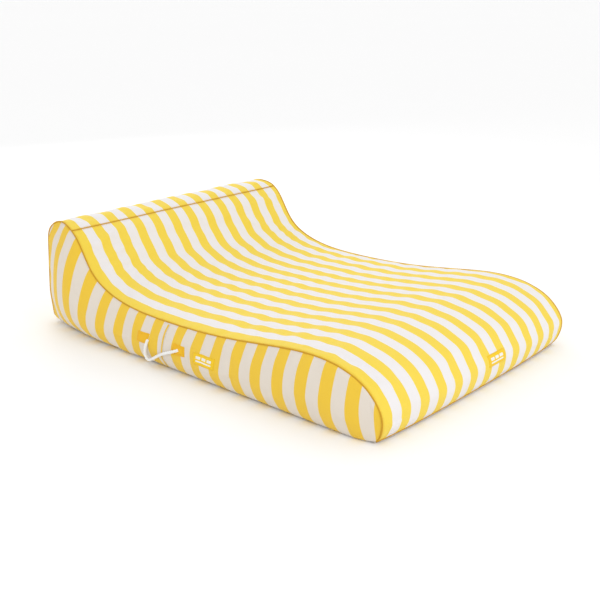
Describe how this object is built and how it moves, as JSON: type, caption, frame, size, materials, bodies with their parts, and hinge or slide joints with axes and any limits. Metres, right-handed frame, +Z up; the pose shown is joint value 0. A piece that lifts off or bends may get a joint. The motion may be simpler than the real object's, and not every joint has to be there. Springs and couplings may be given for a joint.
{
  "type": "inflatable pool lounger",
  "caption": "Wide inflatable pool lounger in a yellow and white striped fabric cover, with a raised head roll, piped edges, a side rope handle and a zipped rear.",
  "frame": {"origin": "on the floor under the middle of the bounding box", "axes": "+X across the lounger, +Y from the foot to the raised head, +Z up; the rope handle is on the -X side"},
  "size_m": [1.3332, 1.8, 0.4624],
  "materials": {
    "bladder_vinyl": "welded vinyl sheet",
    "plain_base_fabric": "plain woven polyester",
    "striped_side_fabric": "woven polyester, yellow and white stripes",
    "striped_top_fabric": "woven polyester, yellow and white stripes",
    "valve_rubber": "soft",
    "valve_vinyl": "clear soft vinyl",
    "white_rope": "braided polyester",
    "woven_label": "woven satin",
    "yellow_patch": "woven polyester",
    "yellow_piping": "corded piping",
    "zip_metal": "nickel plated",
    "zip_nylon": "moulded nylon",
    "zip_tape": "woven polyester"
  },
  "bodies": {
    "float": {"base_panel": "plain_base_fabric", "bladder_base_sheet": "bladder_vinyl", "bladder_left_wall": "bladder_vinyl", "bladder_right_wall": "bladder_vinyl", "bladder_top_sheet": "bladder_vinyl", "bladder_web_1": "bladder_vinyl", "bladder_web_10": "bladder_vinyl", "bladder_web_11": "bladder_vinyl", "bladder_web_12": "bladder_vinyl", "bladder_web_13": "bladder_vinyl", "bladder_web_14": "bladder_vinyl", "bladder_web_15": "bladder_vinyl", "bladder_web_2": "bladder_vinyl", "bladder_web_3": "bladder_vinyl", "bladder_web_4": "bladder_vinyl", "bladder_web_5": "bladder_vinyl", "bladder_web_6": "bladder_vinyl", "bladder_web_7": "bladder_vinyl", "bladder_web_8": "bladder_vinyl", "bladder_web_9": "bladder_vinyl", "foot_hem_piping": "yellow_piping", "foot_label": "woven_label", "front_rope_patch": "yellow_patch", "head_cross_piping": "yellow_piping", "head_panel": "striped_top_fabric", "left_foot_side_panel": "striped_side_fabric", "left_head_side_panel": "striped_side_fabric", "left_side_seam_tape": "yellow_piping", "left_top_piping": "yellow_piping", "port_binding": "yellow_piping", "rear_hem_piping": "yellow_piping", "rear_panel": "striped_top_fabric", "rear_rope_patch": "yellow_patch", "right_foot_side_panel": "striped_side_fabric", "right_head_side_panel": "striped_side_fabric", "right_side_seam_tape": "yellow_piping", "right_top_piping": "yellow_piping", "rope": "white_rope", "seat_panel": "striped_top_fabric", "side_label": "woven_label", "valve_base": "valve_vinyl", "valve_cap_ring": "valve_vinyl", "valve_hinge_pin": "valve_vinyl", "zip_left_stop": "zip_nylon", "zip_lower_tape": "zip_tape", "zip_lower_teeth": "zip_nylon", "zip_right_stop": "zip_nylon", "zip_upper_tape": "zip_tape", "zip_upper_teeth": "zip_nylon"},
    "zip_slider": {"zip_slider": "zip_metal"},
    "zip_puller": {"zip_puller": "zip_metal"},
    "valve_cap": {"valve_cap": "valve_vinyl"},
    "valve_insert": {"valve_insert": "valve_vinyl", "valve_membrane": "valve_rubber"}
  },
  "joints": [
    {"name": "zip_slide", "type": "slide", "parent": "float", "child": "zip_slider", "axis": [1, 0, 0], "range_m": [0, 0.944]},
    {"name": "zip_pull_swing", "type": "hinge", "parent": "zip_slider", "child": "zip_puller", "pos_m": [-0.472, 0.87481, 0.3354], "axis": [0, -0.0872, 0.9962], "range_deg": [0, 180]},
    {"name": "valve_cap_swing", "type": "hinge", "parent": "float", "child": "valve_cap", "pos_m": [0.4, 0.88244, 0.22411], "axis": [1, 0, 0], "range_deg": [0, 150]},
    {"name": "valve_insert_turn", "type": "hinge", "parent": "float", "child": "valve_insert", "pos_m": [0.4, 0.88248, 0.195], "axis": [0, 0.9962, 0.0872], "range_deg": [0, 270]}
  ]
}
